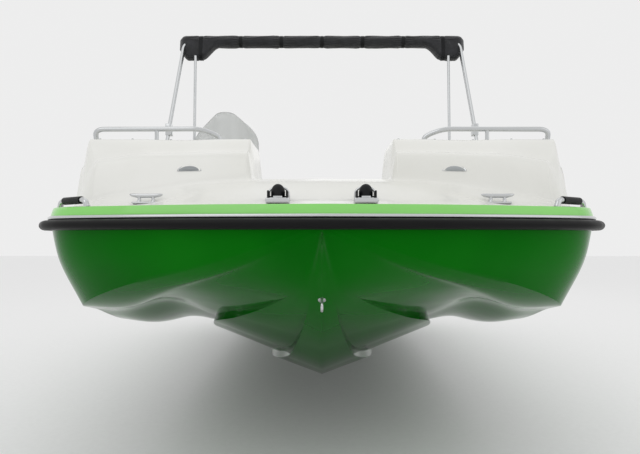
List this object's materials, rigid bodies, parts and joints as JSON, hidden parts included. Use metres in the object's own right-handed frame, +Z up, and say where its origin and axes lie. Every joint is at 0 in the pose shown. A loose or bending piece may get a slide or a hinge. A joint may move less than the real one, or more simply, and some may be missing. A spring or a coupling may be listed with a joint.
{
  "type": "deck boat",
  "caption": "Open deck boat with a green hull, white deck with two bow pods, folded canopy on stainless bows, helm console, seats and a tilting outboard motor.",
  "frame": {"origin": "on the centreline at the design waterline, 3.05 m aft of the stem head", "axes": "+Y towards the stern, +X to port, +Z up"},
  "size_m": [2.6144, 6.475, 2.8568],
  "materials": {
    "green_gelcoat": "glossy green gel coat",
    "white_gelcoat": "white gel coat",
    "black_rail": "black moulded vinyl and nylon",
    "stainless": "polished stainless steel",
    "seat_vinyl": "marine vinyl over foam",
    "canvas": "woven acrylic canvas",
    "acrylic": "smoked clear acrylic",
    "light_lens": "clear lens over a reflector",
    "motor_paint": "gloss dark grey paint",
    "cast_metal": "cast block",
    "propeller_steel": "cast stainless steel"
  },
  "bodies": {
    "boat": {"hull": "green_gelcoat", "deck": "white_gelcoat", "cockpit_liner": "white_gelcoat", "helm_console": "white_gelcoat", "swim_platform_port": "white_gelcoat", "swim_platform_starboard": "white_gelcoat", "rub_rail": "black_rail", "bow_dome_port": "black_rail", "bow_dome_starboard": "black_rail", "throttle": "black_rail", "helm_boss": "black_rail", "bow_bracket_port": "stainless", "bow_bracket_starboard": "stainless", "bow_cleat_port": "stainless", "bow_cleat_starboard": "stainless", "stern_cleat_port": "stainless", "stern_cleat_starboard": "stainless", "bow_eye": "stainless", "bow_rail_port": "stainless", "bow_rail_starboard": "stainless", "corner_rail_port": "stainless", "corner_rail_starboard": "stainless", "canopy_hinge_port": "stainless", "canopy_hinge_starboard": "stainless", "seat_pedestal": "stainless", "aft_backrest": "seat_vinyl", "aft_cushion": "seat_vinyl", "bow_backrest_port": "seat_vinyl", "bow_backrest_starboard": "seat_vinyl", "bow_cushion_port": "seat_vinyl", "bow_cushion_starboard": "seat_vinyl", "console_backrest": "seat_vinyl", "side_backrest": "seat_vinyl", "side_cushion": "seat_vinyl", "windscreen": "acrylic", "docking_light_port": "light_lens", "docking_light_starboard": "light_lens", "outboard_clamp": "motor_paint"},
    "canopy": {"bimini_main_bow": "stainless", "bimini_second_bow": "stainless", "bimini_canvas": "canvas", "bimini_jaw_port": "black_rail", "bimini_jaw_starboard": "black_rail"},
    "brace_port": {"bimini_brace_port": "stainless"},
    "brace_starboard": {"bimini_brace_starboard": "stainless"},
    "anchor_lid": {"anchor_locker_lid": "white_gelcoat"},
    "ski_lid": {"ski_locker_lid": "white_gelcoat"},
    "ladder": {"boarding_ladder": "stainless"},
    "helm_seat": {"helm_seat_shell": "white_gelcoat", "helm_seat_cushion": "seat_vinyl", "helm_seat_back": "seat_vinyl"},
    "wheel": {"steering_wheel": "black_rail"},
    "motor_bracket": {"outboard_swivel": "motor_paint"},
    "motor": {"outboard_midsection": "motor_paint", "outboard_cowling": "motor_paint", "powerhead": "cast_metal", "lower_unit": "motor_paint"},
    "prop": {"propeller": "propeller_steel"}
  },
  "joints": [
    {"name": "bimini_fold", "type": "hinge", "parent": "boat", "child": "canopy", "pos_m": [0, -1.35, 1.095], "axis": [-1, 0, 0], "range_deg": [0, 38]},
    {"name": "brace_fold_port", "type": "hinge", "parent": "boat", "child": "brace_port", "pos_m": [0, -0.7, 1.095], "axis": [1, 0, 0], "range_deg": [0, 93.1]},
    {"name": "brace_fold_starboard", "type": "hinge", "parent": "boat", "child": "brace_starboard", "pos_m": [0, -0.7, 1.095], "axis": [1, 0, 0], "range_deg": [0, 93.1]},
    {"name": "anchor_locker_open", "type": "hinge", "parent": "boat", "child": "anchor_lid", "pos_m": [0, -2.23, 0.845], "axis": [-1, 0, 0], "range_deg": [0, 95]},
    {"name": "ski_locker_open", "type": "hinge", "parent": "boat", "child": "ski_lid", "pos_m": [0, -0.3, 0.12], "axis": [1, 0, 0], "range_deg": [0, 90]},
    {"name": "ladder_fold", "type": "hinge", "parent": "boat", "child": "ladder", "pos_m": [0.77, 3.169, 0.382], "axis": [-1, 0, 0], "range_deg": [0, 180]},
    {"name": "helm_seat_swivel", "type": "hinge", "parent": "boat", "child": "helm_seat", "pos_m": [-0.62, 0.02, 0.435], "axis": [0, 0, 1], "continuous": true},
    {"name": "steering_wheel_turn", "type": "hinge", "parent": "boat", "child": "wheel", "pos_m": [-0.7, -0.555, 0.8], "axis": [0, 0.866, 0.5], "range_deg": [-630, 630]},
    {"name": "outboard_tilt", "type": "hinge", "parent": "boat", "child": "motor_bracket", "pos_m": [0, 2.805, 0.255], "axis": [1, 0, 0], "range_deg": [0, 68]},
    {"name": "outboard_steer", "type": "hinge", "parent": "motor_bracket", "child": "motor", "pos_m": [0, 2.91, 0.1], "axis": [0, 0, 1], "range_deg": [-30, 30]},
    {"name": "propeller_spin", "type": "hinge", "parent": "motor", "child": "prop", "pos_m": [0, 3.16, -0.47], "axis": [0, 1, 0], "continuous": true}
  ],
  "couplings": [
    {"joint": "brace_fold_port", "follows": "bimini_fold", "ratio": 2.45},
    {"joint": "brace_fold_starboard", "follows": "bimini_fold", "ratio": 2.45},
    {"joint": "steering_wheel_turn", "follows": "outboard_steer", "ratio": 21}
  ]
}
